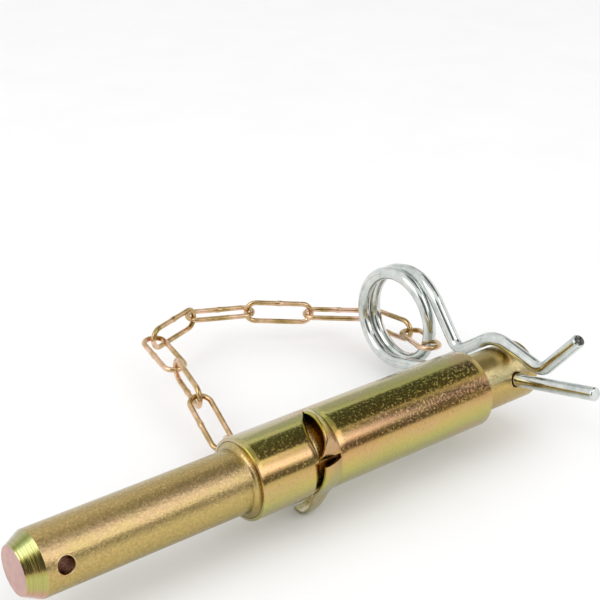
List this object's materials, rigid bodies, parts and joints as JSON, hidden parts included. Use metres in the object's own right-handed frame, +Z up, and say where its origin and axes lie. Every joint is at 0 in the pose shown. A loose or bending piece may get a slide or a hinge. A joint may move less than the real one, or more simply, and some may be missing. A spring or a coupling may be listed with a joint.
{
  "type": "locking pin",
  "caption": "Stepped linkage pin with a sleeve and stop ears, held by a spring clip on a chain that runs back to a lug on the sleeve.",
  "frame": {"origin": "where the free cross hole's axis meets the pin's axis", "axes": "+X along the pin towards the clip, +Z up"},
  "size_m": [0.211, 0.1734, 0.0519],
  "materials": {
    "yellow_zinc": "satin yellow zinc on steel",
    "bright_zinc": "bright zinc on spring steel",
    "chain_zinc": "satin yellow zinc on steel wire"
  },
  "bodies": {
    "pin": {"pin": "yellow_zinc", "sleeve": "yellow_zinc", "chain_lug": "yellow_zinc"},
    "clip": {"r_clip": "bright_zinc"},
    "chain_link_1": {"chain_link_1": "chain_zinc"},
    "chain_link_2": {"chain_link_2": "chain_zinc"},
    "chain_link_3": {"chain_link_3": "chain_zinc"},
    "chain_link_4": {"chain_link_4": "chain_zinc"},
    "chain_link_5": {"chain_link_5": "chain_zinc"},
    "chain_link_6": {"chain_link_6": "chain_zinc"},
    "chain_link_7": {"chain_link_7": "chain_zinc"},
    "chain_link_8": {"chain_link_8": "chain_zinc"},
    "chain_link_9": {"chain_link_9": "chain_zinc"},
    "chain_link_10": {"chain_link_10": "chain_zinc"}
  },
  "joints": [
    {"name": "clip_pull", "type": "slide", "parent": "pin", "child": "clip", "axis": [0, 0.9659, -0.2588], "range_m": [0, 0.05], "deforming": ["r_clip"]},
    {"name": "chain_link_1_turn", "type": "hinge", "parent": "pin", "child": "chain_link_1", "pos_m": [0.082, 0.01875, -0.004], "axis": [0, 0, 1], "range_deg": [-1, 4.33]},
    {"name": "chain_link_2_turn", "type": "hinge", "parent": "chain_link_1", "child": "chain_link_2", "pos_m": [0.09121, 0.03906, -0.0153], "axis": [-0.9841, 0.1773, 0], "range_deg": [-1, 15.12]},
    {"name": "chain_link_3_turn", "type": "hinge", "parent": "chain_link_2", "child": "chain_link_3", "pos_m": [0.09541, 0.06236, -0.00727], "axis": [0, 0, 1], "range_deg": [-32.98, 1]},
    {"name": "chain_link_4_turn", "type": "hinge", "parent": "chain_link_3", "child": "chain_link_4", "pos_m": [0.10213, 0.08919, -0.00586], "axis": [0, 0, 1], "range_deg": [-1, 2.17]},
    {"name": "chain_link_5_turn", "type": "hinge", "parent": "chain_link_4", "child": "chain_link_5", "pos_m": [0.1059, 0.11115, -0.00497], "axis": [0, 0, 1], "range_deg": [-1, 58.24]},
    {"name": "chain_link_6_turn", "type": "hinge", "parent": "chain_link_5", "child": "chain_link_6", "pos_m": [0.1318, 0.12097, -0.00516], "axis": [0, 0, 1], "range_deg": [-3.14, 1]},
    {"name": "chain_link_7_turn", "type": "hinge", "parent": "chain_link_6", "child": "chain_link_7", "pos_m": [0.15234, 0.11231, -0.00575], "axis": [0, 0, 1], "range_deg": [-5.61, 1]},
    {"name": "chain_link_8_turn", "type": "hinge", "parent": "chain_link_7", "child": "chain_link_8", "pos_m": [0.17381, 0.09961, -0.00803], "axis": [0.6544, 0.7561, 0], "range_deg": [-1, 9.14]},
    {"name": "chain_link_9_turn", "type": "hinge", "parent": "chain_link_8", "child": "chain_link_9", "pos_m": [0.19271, 0.08325, -0.00804], "axis": [0, 0, 1], "range_deg": [-46.6, 1]},
    {"name": "chain_link_10_turn", "type": "hinge", "parent": "clip", "child": "chain_link_10", "pos_m": [0.18689, 0.03764, -0.00205], "axis": [0.0463, 0.3417, -0.9387], "range_deg": [-1, 74.44]}
  ],
  "couplings": [
    {"joint": "chain_link_1_turn", "follows": "clip_pull", "rad_per_m": 1.1611},
    {"joint": "chain_link_2_turn", "follows": "clip_pull", "rad_per_m": 4.9299},
    {"joint": "chain_link_3_turn", "follows": "clip_pull", "rad_per_m": -11.164},
    {"joint": "chain_link_4_turn", "follows": "clip_pull", "rad_per_m": 0.40898},
    {"joint": "chain_link_5_turn", "follows": "clip_pull", "rad_per_m": 19.981},
    {"joint": "chain_link_6_turn", "follows": "clip_pull", "rad_per_m": -0.74712},
    {"joint": "chain_link_7_turn", "follows": "clip_pull", "rad_per_m": -1.6085},
    {"joint": "chain_link_8_turn", "follows": "clip_pull", "rad_per_m": 2.8413},
    {"joint": "chain_link_9_turn", "follows": "clip_pull", "rad_per_m": -15.916},
    {"joint": "chain_link_10_turn", "follows": "clip_pull", "rad_per_m": 25.637}
  ]
}
